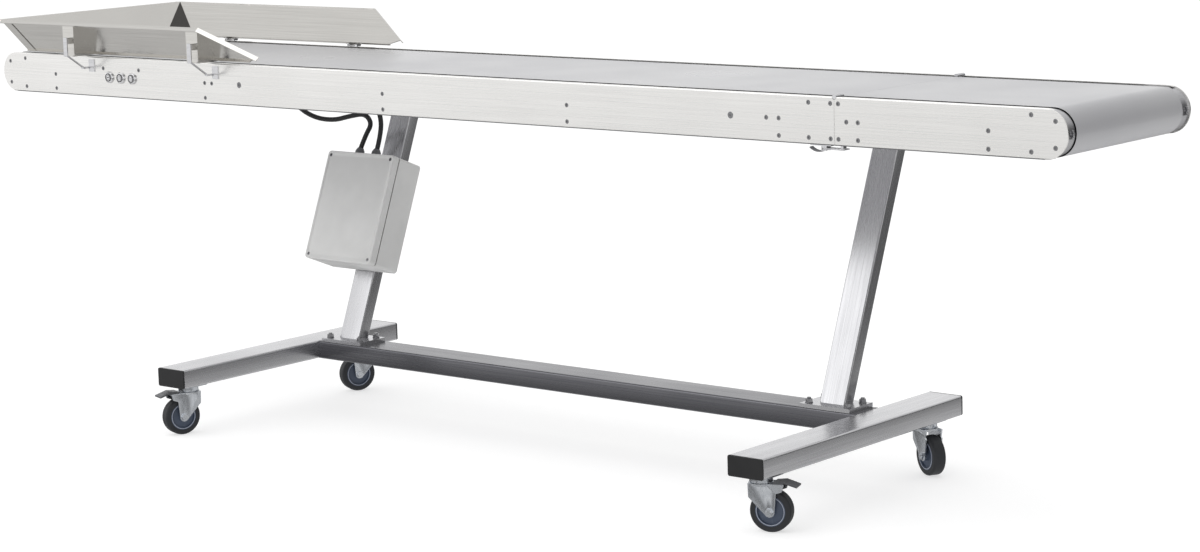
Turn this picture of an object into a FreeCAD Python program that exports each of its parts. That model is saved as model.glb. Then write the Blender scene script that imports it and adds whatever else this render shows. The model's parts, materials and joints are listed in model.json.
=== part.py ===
import FreeCAD, Part
import math
import os

# Mobile stainless belt conveyor section, in millimetres, +Z up, floor at z = 0.
# X runs along the conveyor from the drive drum to the fold-up tail, Y from the front side to the rear.
# Everything is laid out from the middle of the wheeled base and moved once, when it is written out,
# so that the origin ends at the bottom centre of the whole machine's box.

Vec = FreeCAD.Vector
os.makedirs("parts", exist_ok=True)

# ---- wheeled base ----
castor_height = 108.0
base_half_length = 815.0
base_half_width = 334.0
tube_width = 80.0
tube_height = 40.0
tube_wall = 3.0
tube_radius = 4.0
cap_flange = 4.0
cap_plug = 18.0
long_tube_y = 115.0

# ---- leaning supports ----
post_x = 662.0
post_width = 60.0
post_depth = 30.0
post_wall = 2.0
post_lean = 21.9
post_foot_y = long_tube_y - 1.0
foot_length = 120.0
foot_plate = 8.0
foot_bolt_x = 46.0
foot_bolt_y = 26.0
foot_bolt_r = 4.0
arm_height = 30.0
arm_flange = 6.0
arm_flange_x = 90.0
arm_screw_x = 37.0
arm_gap = 0.5
arm_overhang = 4.0
arm_blind = 20.0
edge_round = 3.0

# ---- conveyor frame ----
belt_height = 802.0
frame_left = -1425.0
frame_right = 1384.0
frame_depth = 88.0
frame_width = 426.0
plate_wall = 3.0
top_lip = 10.0
bottom_lip = 12.0
lip_wall = 2.0
seam_x = 901.0
seam_gap = 0.5
bend_radius = 2.0

# ---- belt, drums and rollers ----
belt_width = 368.0
belt_thick = 2.0
run_gap = 0.3
drum_r = 41.0
drum_wall = 5.0
drum_cover = 8.5
shaft_r = 10.0
shaft_fit = 0.06
roller_r = 12.0
axle_r = 4.0
return_up = 12.0
member_r = 10.0
member_stub = 8.0
belt_kink = 3.0
bed_sheet = 2.0
bed_start = 16.0
bed_lip_start = 44.0
bed_inset = 1.0
strip_drop = 7.0
strip_height = 13.0
strip_gap = 2.0
strip_end = 26.0
block_start = 47.0
block_gap = 0.5
block_screw_r = 4.0
block_seat_r = 7.0
block_seat_depth = 5.0

# ---- fold hinge: three knuckles side by side at each side of the frame ----
knuckle_r = 4.5
knuckle_gap = 0.4
knuckle_room = 0.4
hinge_pin_r = 2.0
knuckle_steps = (0.0, 9.0, 17.0, 26.0)
leaf_wall = 6.0
leaf_length = 24.0
leaf_back = 1.0
tab_length = 9.0
tab_depth = 12.0
bridge_depth = 4.0
bridge_wide = 3.5

# ---- draw latch that closes the fold ----
latch_inset = 3.0
latch_width = 14.0
latch_pivot = seam_x - 26.0
latch_drop = 7.0
latch_pin_r = 2.0
ear_wall = 1.5
bail_r = 1.2
bail_reach = 45.0

# ---- screws ----
screw_head_r = 4.5
screw_head_h = 2.2
screw_r = 2.5
screw_length = 14.0
socket_r = 1.8
socket_depth = 1.2

main_pairs = (-1243.0, -752.0, -223.0, 270.0, 777.0)
tail_pairs = (952.0, 1225.0)
main_singles = (-730.0, 749.0)
tail_single = 927.0
arm_screws = (-645.0, 667.0)
row_offset = 32.0
leaf_screw = 8.5

# ---- infeed hopper ----
hopper_left = -1351.0
hopper_top_right = -702.0
hopper_tip = -576.0
hopper_foot_right = -606.0
hopper_foot_left = -1335.0
hopper_end_foot = -1290.0
hopper_corner = 46.0
hopper_flare = 60.0
hopper_inset = 3.0
hopper_foot = belt_height + 9.0
hopper_top = hopper_foot + 72.0
hopper_sheet = 2.0
hopper_rim = 11.0
tip_rise = 9.0
bracket_x = (-1125.0, -724.0)
bracket_half = 18.0
hopper_hinge_out = 10.0
hopper_hinge_z = belt_height + 4.0
hopper_knuckle_r = 4.5
hopper_pin_r = 2.5
lever_out = 14.0
lever_pivot_z = belt_height + 40.0
lever_offset = 8.0
lever_half = 6.0
lever_pin_r = 1.5

# ---- control box and push buttons ----
box_width = 204.0
box_length = 250.0
box_start = 160.0
box_depth = 72.0
box_back = 19.0
lid_depth = 18.0
seal_depth = 2.5
box_radius = 8.0
gland_r = 12.0
gland_off = 65.0
gland_x = (-711.0, -660.0)
cable_r = 5.5
entry_half = 10.0
entry_height = 12.0
entry_gap = 1.5
button_mid = -1022.0
button_pitch = 37.5
button_r = 8.8
collar_r = 12.5
button_gap = 0.3

# ---- castors ----
wheel_r = 40.0
wheel_width = 26.0
hub_r = 29.0
castor_trail = 20.0
castor_x = base_half_length - tube_width/2
castor_front = 285.0
castor_rear = 262.0
head_r = 22.0
fork_sheet = 3.0
# heading of the trailing wheel, in degrees from +X
castors = {
    "front_left": (-1, -1, 251.0),
    "front_right": (1, -1, 20.0),
    "rear_left": (-1, 1, 245.0),
    "rear_right": (1, 1, 332.0),
}

# ---- worked out from the sizes above ----
tube_top = castor_height + tube_height
foot_top = tube_top + foot_plate
half = frame_width/2
inner = half - plate_wall
hinge_steps = [half - step for step in knuckle_steps]
leaf_end = hinge_steps[3] - 0.5
leaf_inner = inner - leaf_wall
latch_y0 = latch_inset - half
latch_y1 = latch_y0 + latch_width
hopper_half_foot = half - hopper_inset
hopper_half_top = hopper_half_foot + hopper_flare
hopper_hinge_y = half + hopper_hinge_out
lever_y = hopper_half_top + lever_out
strip_top = belt_height - strip_drop
frame_foot = belt_height - frame_depth
return_z = frame_foot + return_up
mid_z = belt_height - frame_depth/2
end_r = frame_depth/2
belt_half = belt_width/2
belt_in = drum_r + run_gap
belt_out = belt_in + belt_thick
bed_top = mid_z + drum_r
drive_x = frame_left + end_r
tail_x = frame_right - end_r
return_under = return_z + roller_r + run_gap
arm_foot = mid_z - arm_height/2
lean = math.radians(post_lean)
post_back = post_depth/2/math.cos(lean)
head_y = post_foot_y + math.tan(lean)*(arm_foot - tube_top)
arm_end = head_y + post_back + arm_overhang
lip_under = belt_height - lip_wall - 0.5

nodes = {}


def box(x0, x1, y0, y1, z0, z1):
    return Part.makeBox(x1 - x0, y1 - y0, z1 - z0, Vec(x0, y0, z0))


def rod(r, start, end):
    way = Vec(*end) - Vec(*start)
    return Part.makeCylinder(r, way.Length, Vec(*start), way)


def ring(r, hole, start, end):
    return rod(r, start, end).cut(rod(hole, start, end))


def prism(points, way):
    corners = [Vec(*p) for p in points]
    return Part.Face(Part.makePolygon(corners + corners[:1])).extrude(Vec(*way))


def fuse(shapes):
    return shapes[0].multiFuse(shapes[1:]).removeSplitter()


def cutAll(shape, tools):
    return shape.cut(Part.makeCompound(tools))


def mirrorY(shape):
    return shape.mirror(Vec(0, 0, 0), Vec(0, 1, 0))


def roundEdges(shape, radius, along, wanted=lambda p: True):
    edges = []
    for edge in shape.Edges:
        if edge.Curve.TypeId == "Part::GeomLine" and wanted(edge.CenterOfMass):
            if abs(edge.Curve.Direction.dot(Vec(*along))) > 0.999:
                edges.append(edge)
    return shape.makeFillet(radius, edges)


def keep(name, *shapes):
    solids = [solid for shape in shapes for solid in shape.Solids]
    whole = Part.makeCompound(solids) if len(solids) > 1 else solids[0]
    nodes[name] = whole
    print(f"{name}: {len(solids)} solids, {whole.Volume/1000:.1f} cm3")


def screw(x, y, z, out, head=screw_head_r):
    # countersunk socket screw, head flush with the plate at y, pointing inwards
    tip = y - out*screw_length
    neck = y - out*screw_head_h
    cone = Part.makeCone(head, screw_r, screw_head_h, Vec(x, y, z), Vec(0, -out, 0))
    shank = rod(screw_r, (x, neck, z), (x, tip, z))
    return cone.fuse(shank)


def socketed(shape, x, y, z, out):
    return shape.cut(rod(socket_r, (x, y, z), (x, y - out*socket_depth, z)))


def screwSet(places, y, out):
    plain = [screw(x, y, z, out, head) for x, z, head in places]
    done = [socketed(s, x, y, z, out) for s, (x, z, head) in zip(plain, places)]
    return plain, done


# ======== wheeled base ========

def rectTube(length, width, height, wall, radius):
    outer = roundEdges(box(0, length, -width/2, width/2, 0, height), radius, (1, 0, 0))
    bore = box(-1, length + 1, wall - width/2, width/2 - wall, wall, height - wall)
    return outer.cut(bore)


def capPlug(length, width, height):
    flange = roundEdges(box(0, cap_flange, -width/2, width/2, 0, height), tube_radius, (1, 0, 0))
    fit = tube_wall + 0.2
    plug = box(cap_flange, cap_flange + cap_plug, fit - width/2, width/2 - fit, fit, height - fit)
    hollow = box(cap_flange + 2, cap_flange + cap_plug + 1, fit + 2 - width/2, width/2 - fit - 2,
                 fit + 2, height - fit - 2)
    return flange.fuse(plug.cut(hollow))


def makeBase():
    tube_length = 2*(base_half_width - cap_flange)
    caps = []
    for name, x in (("left", -castor_x), ("right", castor_x)):
        tube = rectTube(tube_length, tube_width, tube_height, tube_wall, tube_radius)
        tube.rotate(Vec(0, 0, 0), Vec(0, 0, 1), 90)
        tube.translate(Vec(x, -tube_length/2, castor_height))
        keep(f"cross_tube_{name}", tube)
        for turn in (90, -90):
            cap = capPlug(cap_flange, tube_width, tube_height)
            cap.rotate(Vec(0, 0, 0), Vec(0, 0, 1), turn)
            side = -1 if turn > 0 else 1
            cap.translate(Vec(x, side*base_half_width, castor_height))
            caps.append(cap)
    keep("tube_end_caps", *caps)
    reach = castor_x - tube_width/2
    long = rectTube(2*reach, tube_width, tube_height, tube_wall, tube_radius)
    long.translate(Vec(-reach, long_tube_y, castor_height))
    holes = [rod(foot_bolt_r, (x, y, tube_top - 2*tube_wall), (x, y, tube_top + 1))
             for x, y in footHoles()]
    keep("long_tube", cutAll(long, holes))


def footHoles():
    return [(side*post_x + sx*foot_bolt_x, long_tube_y + sy*foot_bolt_y)
            for side in (-1, 1) for sx in (-1, 1) for sy in (-1, 1)]


def hexagon(x, y, z, across, height):
    points = [(x + across/math.sqrt(3)*math.cos(math.radians(60*k)),
               y + across/math.sqrt(3)*math.sin(math.radians(60*k)), z) for k in range(6)]
    return prism(points, (0, 0, height))


def makeFootBolts():
    bolts = []
    for x, y in footHoles():
        washer = rod(8.0, (x, y, foot_top), (x, y, foot_top + 1.5))
        nut = hexagon(x, y, foot_top + 1.5, 13.0, 6.5)
        stud = rod(foot_bolt_r, (x, y, tube_top - tube_wall - 2), (x, y, foot_top + 11.0))
        bolts.append(fuse([washer, nut, stud]))
    keep("foot_bolts", *bolts)


def makeSupport(name, x):
    foot = box(x - foot_length/2, x + foot_length/2, long_tube_y - tube_width/2,
               long_tube_y + tube_width/2, tube_top, foot_top)
    foot = cutAll(foot, [rod(foot_bolt_r, (hx, hy, tube_top - 1), (hx, hy, foot_top + 1))
                         for hx, hy in footHoles()])
    length = (arm_foot - tube_top)/math.cos(lean) + 60
    post = box(-post_width/2, post_width/2, -post_depth/2, post_depth/2, -40, length)
    post = roundEdges(post, edge_round, (0, 0, 1))
    bore = box(post_wall - post_width/2, post_width/2 - post_wall, post_wall - post_depth/2,
               post_depth/2 - post_wall, -50, length + 10)
    post = post.cut(bore)
    post.rotate(Vec(0, 0, 0), Vec(1, 0, 0), -post_lean)
    post.translate(Vec(x, post_foot_y, tube_top))
    post = post.common(box(x - 100, x + 100, -500, 800, foot_top, arm_foot))
    arm = box(x - post_width/2, x + post_width/2, -inner, arm_end, arm_foot, arm_foot + arm_height)
    arm = roundEdges(arm, edge_round, (0, 1, 0))
    arm = arm.cut(box(x - post_width/2 + post_wall, x + post_width/2 - post_wall, arm_blind - inner,
                      arm_end - post_wall, arm_foot + post_wall, arm_foot + arm_height - post_wall))
    flange = box(x - arm_flange_x/2, x + arm_flange_x/2, half, half + arm_flange,
                 frame_foot + 6, belt_height - 6)
    return fuse([foot, post, arm, flange])


def flangeScrews(x):
    return [(x + sx*arm_screw_x, mid_z + sz*row_offset, screw_head_r) for sx in (-1, 1) for sz in (-1, 1)]


# ======== conveyor frame ========

def plateOutline(x0, x1, left_round, right_round):
    # side view of one plate: a strip with a half-round end where a drum is
    start = x0 + end_r if left_round else x0
    end = x1 - end_r if right_round else x1
    shape = box(start, end, -half, half, frame_foot, belt_height)
    if left_round:
        shape = shape.fuse(Part.makeCylinder(end_r, 2*half, Vec(start, -half, mid_z), Vec(0, 1, 0)))
    if right_round:
        shape = shape.fuse(Part.makeCylinder(end_r, 2*half, Vec(end, -half, mid_z), Vec(0, 1, 0)))
    return shape


def sidePlate(x0, x1, left_round, right_round):
    # folded channel on the front side, mirrored for the rear
    web = box(x0, x1, -half, -inner, frame_foot, belt_height)
    top = box(x0, x1, -half, -half + top_lip, belt_height - lip_wall, belt_height)
    low = box(x0, x1, -half, -half + bottom_lip, frame_foot, frame_foot + lip_wall)
    shape = fuse([web, top, low])
    shape = roundEdges(shape, bend_radius, (1, 0, 0), lambda p: p.y < -half + 0.01)
    return shape.common(plateOutline(x0, x1, left_round, right_round))


def mainPlaces():
    places = [(x, z, screw_head_r) for x in main_pairs for z in (mid_z, return_z)]
    places += [(x, mid_z, screw_head_r) for x in main_singles]
    places += [(frame_left + 25.0, mid_z + dz, screw_head_r) for dz in (-24.0, 24.0)]
    places += [(frame_left + 78.0, mid_z + dz, screw_head_r) for dz in (-row_offset, row_offset)]
    places += [(x, mid_z + dz, screw_head_r) for dz in (-row_offset, row_offset)
               for x in (seam_x - 57.0, seam_x - leaf_screw)]
    return places


def frontOnly():
    places = [(x, mid_z, 6.5) for x in arm_screws]
    return places + housingPlaces()


def tailPlaces():
    places = [(x, z, screw_head_r) for x in tail_pairs for z in (mid_z, return_z)]
    places += [(tail_single, mid_z, screw_head_r)]
    places += [(frame_right - 25.0, mid_z + dz, screw_head_r) for dz in (-23.0, 23.0)]
    places += [(frame_right - 73.0, mid_z + dz, screw_head_r) for dz in (-row_offset, row_offset)]
    places += [(seam_x + leaf_screw, mid_z + dz, screw_head_r) for dz in (-row_offset, row_offset)]
    return places


def hingeCut(radius):
    y = half + 1
    return [rod(radius, (seam_x, -y, belt_height), (seam_x, -leaf_end, belt_height)),
            rod(radius, (seam_x, leaf_end, belt_height), (seam_x, y, belt_height))]


def leafPlate(x0, x1):
    return box(x0, x1, -inner, -leaf_inner, frame_foot + 5, lip_under)


def hingeTab(side, y0, y1):
    # arm from the leaf to a knuckle: side -1 on the frame, +1 on the tail
    x0, x1 = sorted((seam_x + side*leaf_back, seam_x + side*tab_length))
    b0, b1 = sorted((seam_x + side*(tab_length - bridge_wide), seam_x + side*tab_length))
    z = lip_under - tab_depth
    return [box(x0, x1, y0, y1, z, lip_under), box(b0, b1, -inner, y1, z, z + bridge_depth)]


def hingeFixed():
    y0, y1, y2, y3 = hinge_steps
    leaf = leafPlate(seam_x - leaf_length, seam_x - leaf_back)
    knuckles = [rod(knuckle_r, (seam_x, 0.5 - y0, belt_height), (seam_x, -y1, belt_height)),
                rod(knuckle_r, (seam_x, knuckle_gap - y2, belt_height), (seam_x, -y3, belt_height))]
    pin = rod(hinge_pin_r, (seam_x, 0.5 - y0, belt_height), (seam_x, -y3, belt_height))
    return fuse([leaf] + hingeTab(-1, knuckle_gap - y2, -y3) + knuckles + [pin])


def hingeMoving():
    y0, y1, y2, y3 = hinge_steps
    leaf = leafPlate(seam_x + leaf_back, seam_x + leaf_length)
    room = rod(knuckle_r + knuckle_room, (seam_x, -half - 1, belt_height), (seam_x, -y1 + 0.2, belt_height))
    barrel = rod(knuckle_r, (seam_x, knuckle_gap - y1, belt_height), (seam_x, -y2, belt_height))
    bore = rod(hinge_pin_r + shaft_fit, (seam_x, -y1, belt_height), (seam_x, 1 - y2, belt_height))
    tab = hingeTab(1, knuckle_gap - y1, -y2)
    return cutAll(fuse([leaf.cut(room)] + tab + [barrel]), [bore])


def loopFace(centre, side, radius, kink_x):
    # one surface of the belt around a drum: tangent from the first return roller to the drum
    dx, dz = kink_x - centre, (return_under if radius == belt_out else return_under + belt_thick) - mid_z
    reach = math.hypot(dx, dz)
    angle = math.atan2(dz, dx) + side*math.acos(radius/reach)
    touch = Vec(centre + radius*math.cos(angle), 0, mid_z + radius*math.sin(angle))
    far = Vec(centre + side*radius, 0, mid_z)
    top = Vec(centre, 0, mid_z + radius)
    return touch, far, top, Vec(kink_x, 0, mid_z + dz)


def beltHalf(centre, side, roller_x, cut_x):
    kink_x = roller_x + side*belt_kink
    faces = [loopFace(centre, side, r, kink_x) for r in (belt_out, belt_in)]
    (t0, f0, p0, k0), (t1, f1, p1, k1) = faces
    c0, c1 = Vec(cut_x, 0, p0.z), Vec(cut_x, 0, p1.z)
    d0, d1 = Vec(cut_x, 0, k0.z), Vec(cut_x, 0, k1.z)
    edges = [Part.makeLine(c0, p0), Part.Arc(p0, f0, t0).toShape(), Part.makeLine(t0, k0),
             Part.makeLine(k0, d0), Part.makeLine(d0, d1), Part.makeLine(d1, k1),
             Part.makeLine(k1, t1), Part.Arc(t1, f1, p1).toShape(), Part.makeLine(p1, c1),
             Part.makeLine(c1, c0)]
    face = Part.Face(Part.Wire(edges))
    shape = face.extrude(Vec(0, belt_width, 0))
    shape.translate(Vec(0, -belt_half, 0))
    return shape


def bed(centre, cut_x):
    # sheet that carries the upper run, its folded sides stopping short of the drum and the arms
    wide = belt_half - bed_inset
    side = 1 if cut_x > centre else -1
    x0, x1 = sorted((centre + side*bed_start, cut_x))
    lip0, lip1 = sorted((centre + side*bed_lip_start, cut_x))
    top = box(x0, x1, -wide, wide, bed_top - bed_sheet, bed_top)
    lips = [box(lip0, lip1, y, y + bed_sheet, mid_z + member_r, bed_top) for y in (-wide, wide - bed_sheet)]
    return cutAll(fuse([top] + lips), armSlots(-inner, inner))


def armSlots(y0, y1):
    reach = post_width/2 + arm_gap
    return [box(x - reach, x + reach, y0, y1, arm_foot - arm_gap, arm_foot + arm_height + arm_gap)
            for x in (-post_x, post_x)]


def strip(x0, x1):
    return box(x0, x1, -inner, -belt_half - strip_gap, strip_top - strip_height, strip_top)


def endBlock(centre, side):
    # bearing block between plate and belt edge, with a tension screw hole in its nose
    r = end_r - lip_wall - block_gap
    y0, y1 = -inner, -belt_half - strip_gap
    y = (y0 + y1)/2
    disc = rod(r, (centre, y0, mid_z), (centre, y1, mid_z))
    x0, x1 = sorted((centre - side*block_start, centre))
    shape = disc.fuse(box(x0, x1, y0, y1, mid_z - r, mid_z + r)).removeSplitter()
    bore = rod(shaft_r, (centre, y0 - 1, mid_z), (centre, y1 + 1, mid_z))
    nose = centre + side*(r + 2)
    hole = rod(block_screw_r, (centre + side*(shaft_r + 1), y, mid_z), (nose, y, mid_z))
    seat = rod(block_seat_r, (centre + side*(r - block_seat_depth), y, mid_z), (nose, y, mid_z))
    return cutAll(shape, [bore, hole, seat])


def drum(centre):
    length = belt_half - 0.5
    shell = rod(drum_r, (centre, -length, mid_z), (centre, length, mid_z))
    hollow = rod(drum_r - drum_wall, (centre, drum_cover - length, mid_z),
                 (centre, length - drum_cover, mid_z))
    bore = rod(shaft_r + shaft_fit, (centre, -length - 1, mid_z), (centre, length + 1, mid_z))
    return shell.cut(hollow).cut(bore)


def shaft(centre):
    return rod(shaft_r, (centre, -inner + 1.0, mid_z), (centre, inner - 1.0, mid_z))


def roller(x):
    length = belt_half - 2.0
    return ring(roller_r, axle_r + shaft_fit, (x, -length, return_z), (x, length, return_z))


def crossBar(x, z, r):
    return rod(r, (x, -inner, z), (x, inner, z))


def returnBar(x):
    # round bar under the lower run, turned down at its ends to pass the folded lips
    wide = half - bottom_lip - 1
    return fuse([crossBar(x, return_z, member_stub), rod(roller_r, (x, -wide, return_z), (x, wide, return_z))])


def makeFrame():
    left, cut_l, cut_r = frame_left, seam_x - seam_gap/2, seam_x + seam_gap/2
    front_plain, front_done = screwSet(mainPlaces() + frontOnly(), -half, -1)
    rear_plain, rear_done = screwSet(mainPlaces(), half, 1)
    flange_places = flangeScrews(-post_x) + flangeScrews(post_x)
    far_plain, far_done = screwSet(flange_places, half + arm_flange, 1)
    lid_plain, lid_done = lidScrews()
    notch = hingeCut(knuckle_r + knuckle_room)

    front = sidePlate(left, cut_l, True, False)
    holes = [rod(collar_r - 1.5, (x, -half - 1, mid_z), (x, -inner + 1, mid_z)) for x in buttonPlaces()]
    keep("side_plate_front", cutAll(front, front_plain + holes + notch))
    rear = mirrorY(sidePlate(left, cut_l, True, False))
    keep("side_plate_rear", cutAll(rear, rear_plain + far_plain + armSlots(inner - 1, half + 1) + notch))
    for side, name in ((-1, "left"), (1, "right")):
        keep(f"post_{name}", cutAll(makeSupport(name, side*post_x), front_plain + far_plain))

    bars = [crossBar(x, mid_z, member_r) for x in main_pairs]
    bars += [returnBar(x) for x in main_pairs[1:]]
    bars += [crossBar(main_pairs[0], return_z, axle_r)]
    keep("cross_members", *[cutAll(b, front_plain + rear_plain) for b in bars])
    keep("slider_bed", bed(drive_x, cut_l))
    block_end = drive_x + block_start
    long_strip = strip(block_end + 1, seam_x - strip_end)
    keep("edge_strips", cutAll(long_strip, front_plain), cutAll(mirrorY(long_strip), rear_plain + far_plain))
    keep("plate_screws", *(front_done + rear_done + far_done + lid_done))

    block = cutAll(endBlock(drive_x, -1), front_plain)
    keep("drive_end_blocks", block, mirrorY(block))
    keep("drive_shaft", shaft(drive_x))
    keep("drive_drum", drum(drive_x))
    keep("belt_main", beltHalf(drive_x, -1, main_pairs[0], cut_l))
    keep("snub_roller_drive", roller(main_pairs[0]))

    tail_front, tail_front_done = screwSet(tailPlaces(), -half, -1)
    tail_rear, tail_rear_done = screwSet(tailPlaces(), half, 1)
    plate = sidePlate(cut_r, frame_right, False, True)
    keep("tail_plate_front", cutAll(plate, tail_front + notch))
    keep("tail_plate_rear", cutAll(mirrorY(plate), tail_rear + notch))
    tail_bars = [crossBar(x, mid_z, member_r) for x in tail_pairs]
    tail_bars += [returnBar(tail_pairs[0]), crossBar(tail_pairs[1], return_z, axle_r)]
    tail_bars = [cutAll(b, tail_front + tail_rear) for b in tail_bars]
    keep("tail_bed", bed(tail_x, cut_r), *tail_bars)
    tail_strip = strip(seam_x + strip_end, tail_x - block_start - 1)
    keep("tail_strips", cutAll(tail_strip, tail_front), cutAll(mirrorY(tail_strip), tail_rear))
    keep("tail_screws", *(tail_front_done + tail_rear_done))
    block = cutAll(endBlock(tail_x, 1), tail_front)
    keep("tail_end_blocks", block, mirrorY(block))
    keep("tail_shaft", shaft(tail_x))
    keep("tail_drum", drum(tail_x))
    keep("belt_tail", beltHalf(tail_x, 1, tail_pairs[1], cut_r))
    keep("snub_roller_tail", roller(tail_pairs[1]))
    fixed = cutAll(hingeFixed(), front_plain)
    keep("tail_hinge_fixed", fixed, mirrorY(fixed))
    moving = cutAll(hingeMoving(), tail_front + [catchLug()])
    keep("tail_hinge_moving", moving, mirrorY(moving), catchLug())


# ======== draw latch that closes the fold ========

def catchLug():
    # hooked lug on the tail: the closed bail lies just below and behind it
    x = latch_pivot + bail_reach - 3.5
    foot = frame_foot - latch_drop + bail_r + 0.5
    return box(x - 6.0, x, latch_y0 + 2, latch_y1 - 2, foot, frame_foot)


def latchBase():
    z = frame_foot
    x = latch_pivot
    zp = z - latch_drop
    plate = box(x - 30.0, x + 16.0, latch_y0, latch_y1, z - 2.0, z)
    ears = [box(x - 6, x + 6, y, y + ear_wall, z - 11.0, z - 2.0) for y in (latch_y0, latch_y1 - ear_wall)]
    pin = rod(latch_pin_r, (x, latch_y0 - 1.4, zp), (x, latch_y1 + 1.4, zp))
    wires = [rod(bail_r, (x, y, zp), (x + bail_reach, y, zp)) for y in (latch_y0 - 1.3, latch_y1 + 1.3)]
    end = rod(bail_r, (x + bail_reach, latch_y0 - 1.3, zp), (x + bail_reach, latch_y1 + 1.3, zp))
    return fuse([plate] + ears + [pin] + wires + [end])


def latchLever():
    z = frame_foot - latch_drop
    x = latch_pivot
    y0, y1 = latch_y0 + 1.9, latch_y1 - 1.9
    under = [Vec(x, y0, z - 3.8), Vec(x - 16, y0, z - 7.0), Vec(x - 34, y0, z + 0.5)]
    over = [Vec(x - 32, y0, z + 2.2), Vec(x - 16, y0, z - 4.6), Vec(x, y0, z - 1.0)]
    edges = [Part.Arc(*under).toShape(), Part.makeLine(under[2], over[0]),
             Part.Arc(*over).toShape(), Part.makeLine(over[2], under[0])]
    handle = Part.Face(Part.Wire(edges)).extrude(Vec(0, y1 - y0, 0))
    shape = fuse([handle, rod(4.0, (x, y0, z), (x, y1, z))])
    return shape.cut(rod(latch_pin_r + shaft_fit, (x, latch_y0 - 1, z), (x, latch_y1 + 1, z)))


# ======== infeed hopper, hinged at the rear and latched at the front ========

def hopperPanel():
    # front panel drawn flat (x, distance up the slope, thickness outwards), then leant outwards
    rise, run = hopper_top - hopper_foot, hopper_half_top - hopper_half_foot
    slope = math.hypot(rise, run)
    tip_up = tip_rise*slope/rise
    outline = [(hopper_foot_left, 0, 0), (hopper_foot_right, 0, 0), (hopper_tip, tip_up, 0),
               (hopper_top_right, slope, 0), (hopper_left, slope, 0)]
    sheet = prism(outline, (0, 0, hopper_sheet))
    rim = box(hopper_left, hopper_top_right, slope - hopper_sheet, slope, 0, hopper_rim)
    tip, top = Vec(hopper_tip, tip_up, 0), Vec(hopper_top_right, slope, 0)
    inward = (top - tip).cross(Vec(0, 0, 1)).normalize()*-hopper_sheet
    end_rim = prism([tuple(tip), tuple(top), tuple(top + inward), tuple(tip + inward)],
                    (0, 0, hopper_rim))
    foot_rim = box(hopper_foot_left, hopper_foot_right, 0, hopper_sheet, 0, 6.0)
    band = prism([(hopper_foot_left, 0, 0), (hopper_foot_left + 26, 0, 0), (hopper_left + 26, slope, 0),
                  (hopper_left, slope, 0)], (0, 0, hopper_sheet + 1.5))
    shape = fuse([sheet, rim, end_rim, foot_rim, band])
    up = Vec(0, -run/slope, rise/slope)
    out = Vec(1, 0, 0).cross(up)
    matrix = FreeCAD.Matrix(1, up.x, out.x, 0, 0, up.y, out.y, -hopper_half_foot,
                            0, up.z, out.z, hopper_foot, 0, 0, 0, 1)
    shape.Placement = FreeCAD.Placement(matrix)
    return shape


def hopperEnd():
    top = hopper_half_top
    foot = hopper_half_foot - hopper_corner
    x_top, x_foot = hopper_left, hopper_end_foot
    sheet = prism([(x_foot, -foot, hopper_foot), (x_foot, foot, hopper_foot),
                   (x_top, top, hopper_top), (x_top, -top, hopper_top)], (-hopper_sheet, 0, 0))
    rim = box(x_top - hopper_rim, x_top, -top, top, hopper_top - hopper_sheet, hopper_top)
    corners = [prism([(x_foot, s*foot, hopper_foot), (x_foot + hopper_corner, s*hopper_half_foot, hopper_foot),
                      (x_top, s*top, hopper_top)], (-hopper_sheet, 0, 0)) for s in (-1, 1)]
    return fuse([sheet, rim] + corners)


def bracket(x):
    # folded channel that carries the latch or the hinge, welded under the rim
    y = -hopper_half_top
    w = bracket_half
    web = box(x - w, x + w, y, y + 2.0, hopper_foot - 4, hopper_top - 1)
    cheeks = [prism([(cx, y, hopper_top - 2), (cx, y, hopper_foot - 4),
                     (cx, -hopper_half_foot - 2, hopper_foot - 4), (cx, -hopper_half_foot - 2, hopper_foot + 1)],
                    (2.0, 0, 0)) for cx in (x - w, x + w - 2.0)]
    return fuse([web] + cheeks)


def hopperHingeParts(x):
    y, z, r = hopper_hinge_y, hopper_hinge_z, 4.5
    fixed = [rod(r, (x - 15, y, z), (x - 7, y, z)), rod(r, (x + 7, y, z), (x + 15, y, z)),
             rod(2.5, (x - 15, y, z), (x + 15, y, z))]
    fixed += [box(x + a, x + a + 8, half, y, z - 4, z) for a in (-15, 7)]
    fixed += [box(x - 15, x + 15, half, half + 3, z - 34, z - 2)]
    centre = ring(r, 2.5 + shaft_fit, (x - 6.6, y, z), (x + 6.6, y, z))
    tab = box(x - 6.6, x + 6.6, y + 2.7, y + 7.0, z, hopper_foot + 4)
    foot = box(x - 6.6, x + 6.6, y + 2.7, hopper_half_top - 1, hopper_foot - 3, hopper_foot - 1)
    return fuse(fixed).cut(rod(r + 0.4, (x - 7, y, z), (x + 7, y, z)).cut(
        rod(2.5, (x - 8, y, z), (x + 8, y, z)))), fuse([centre, tab, foot])


def hopperLever(x):
    # over-centre latch: pivot on the bracket, hook hanging in front of the keeper
    x = x + lever_offset
    z = lever_pivot_z
    strap = box(x - 6, x + 6, -lever_y - 3, -lever_y, z - 34, z + 8)
    strap = roundEdges(strap, 2.0, (0, 1, 0))
    hub = rod(3.5, (x - 6, -lever_y + 3.5, z), (x + 6, -lever_y + 3.5, z))
    neck = box(x - 6, x + 6, -lever_y - 1, -lever_y + 3.5, z - 3, z + 3)
    hook = prism([(x - 4, -lever_y, z - 30), (x - 4, -lever_y - 3, z - 30), (x - 4, -half - 27.0, z - 62),
                  (x - 4, -half - 24.0, z - 62)], (8, 0, 0))
    claw = box(x - 4, x + 4, -half - 28.0, -half - 12.6, z - 65, z - 61)
    shape = fuse([strap, hub, neck, hook, claw])
    return shape.cut(rod(1.5 + shaft_fit, (x - 7, -lever_y + 3.5, z), (x + 7, -lever_y + 3.5, z)))


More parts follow.
